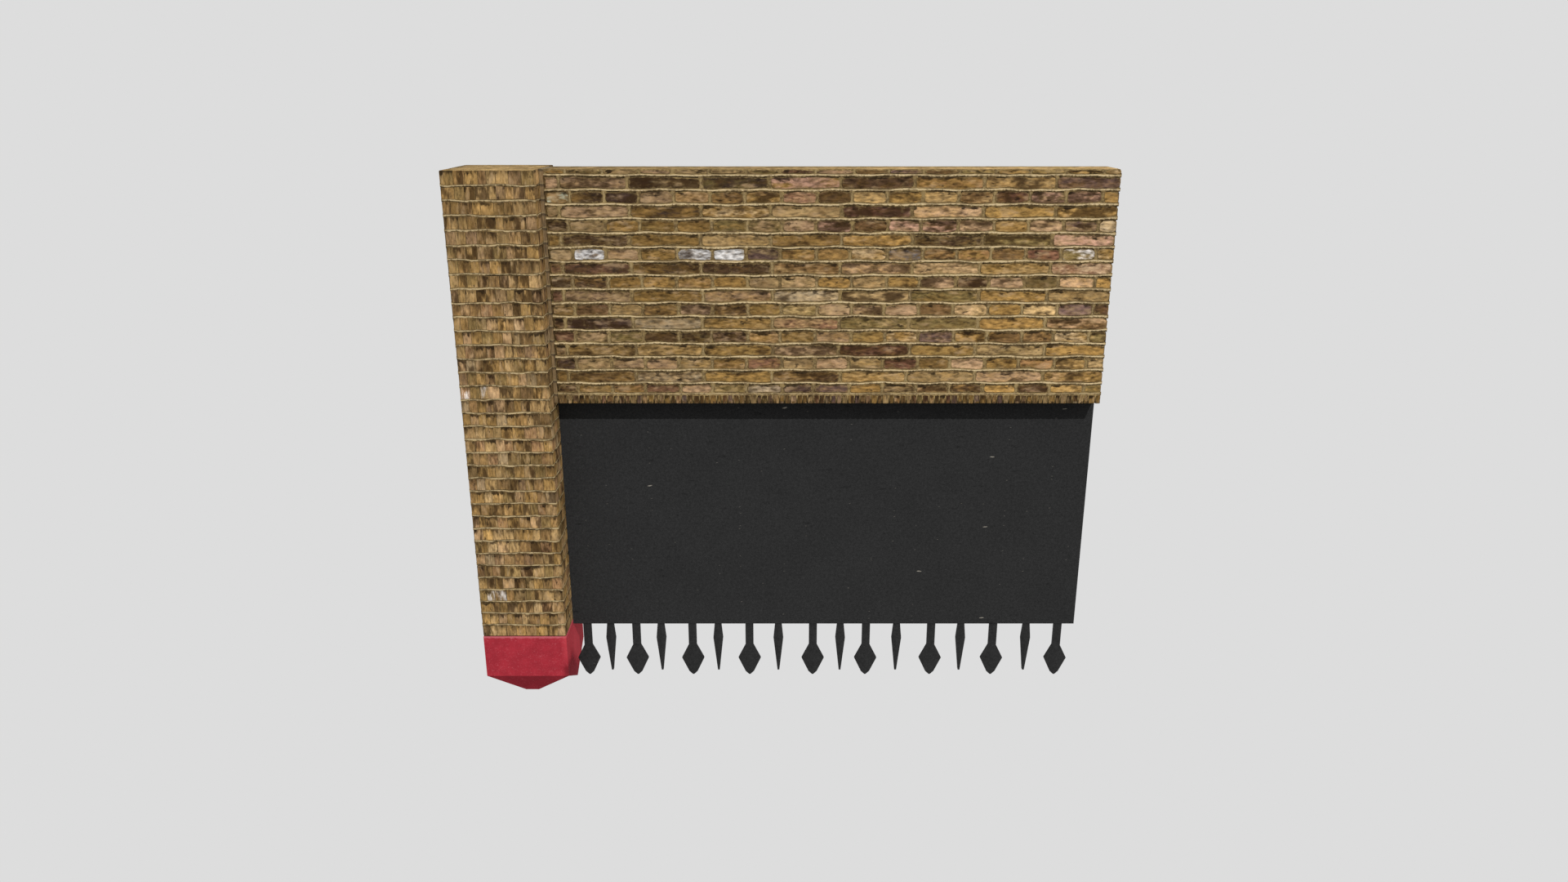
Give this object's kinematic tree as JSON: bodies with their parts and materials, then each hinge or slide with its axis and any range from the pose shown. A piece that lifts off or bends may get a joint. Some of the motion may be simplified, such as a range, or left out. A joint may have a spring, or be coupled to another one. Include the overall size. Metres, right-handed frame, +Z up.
{
  "type": "brick garden wall bay",
  "caption": "Bay of brick garden wall: low wall with brick coping and a dark metal screen topped by spear and spike finials, ending in a square brick pier with a red gabled cap.",
  "frame": {"origin": "middle of the bounding box at ground level", "axes": "+X along the wall from its free end to the pier, +Y from the front face to the back, +Z up"},
  "size_m": [2.478, 0.342, 2.149],
  "materials": {
    "brick": "rough weathered stock brick with cream mortar",
    "cap": "red cast stone, mottled and matt",
    "screen_paint": "dull dark grey paint, scratched",
    "filler": "grey-brown joint packing"
  },
  "bodies": {
    "root": {"pier_shaft": "brick", "cap_block": "cap", "cap_roof": "cap", "dwarf_wall": "brick", "wall_coping": "brick", "joint_filler": "filler", "front_sheet": "screen_paint", "back_sheet": "screen_paint", "bottom_rail": "screen_paint", "top_rail": "screen_paint", "pier_stile": "screen_paint", "end_stile": "screen_paint", "spear_1": "screen_paint", "spike_1": "screen_paint", "spear_2": "screen_paint", "spike_2": "screen_paint", "spear_3": "screen_paint", "spike_3": "screen_paint", "spear_4": "screen_paint", "spike_4": "screen_paint", "spear_5": "screen_paint", "spike_5": "screen_paint", "spear_6": "screen_paint", "spike_6": "screen_paint", "spear_7": "screen_paint", "spike_7": "screen_paint", "spear_8": "screen_paint", "spike_8": "screen_paint", "spear_9": "screen_paint"}
  },
  "joints": []
}
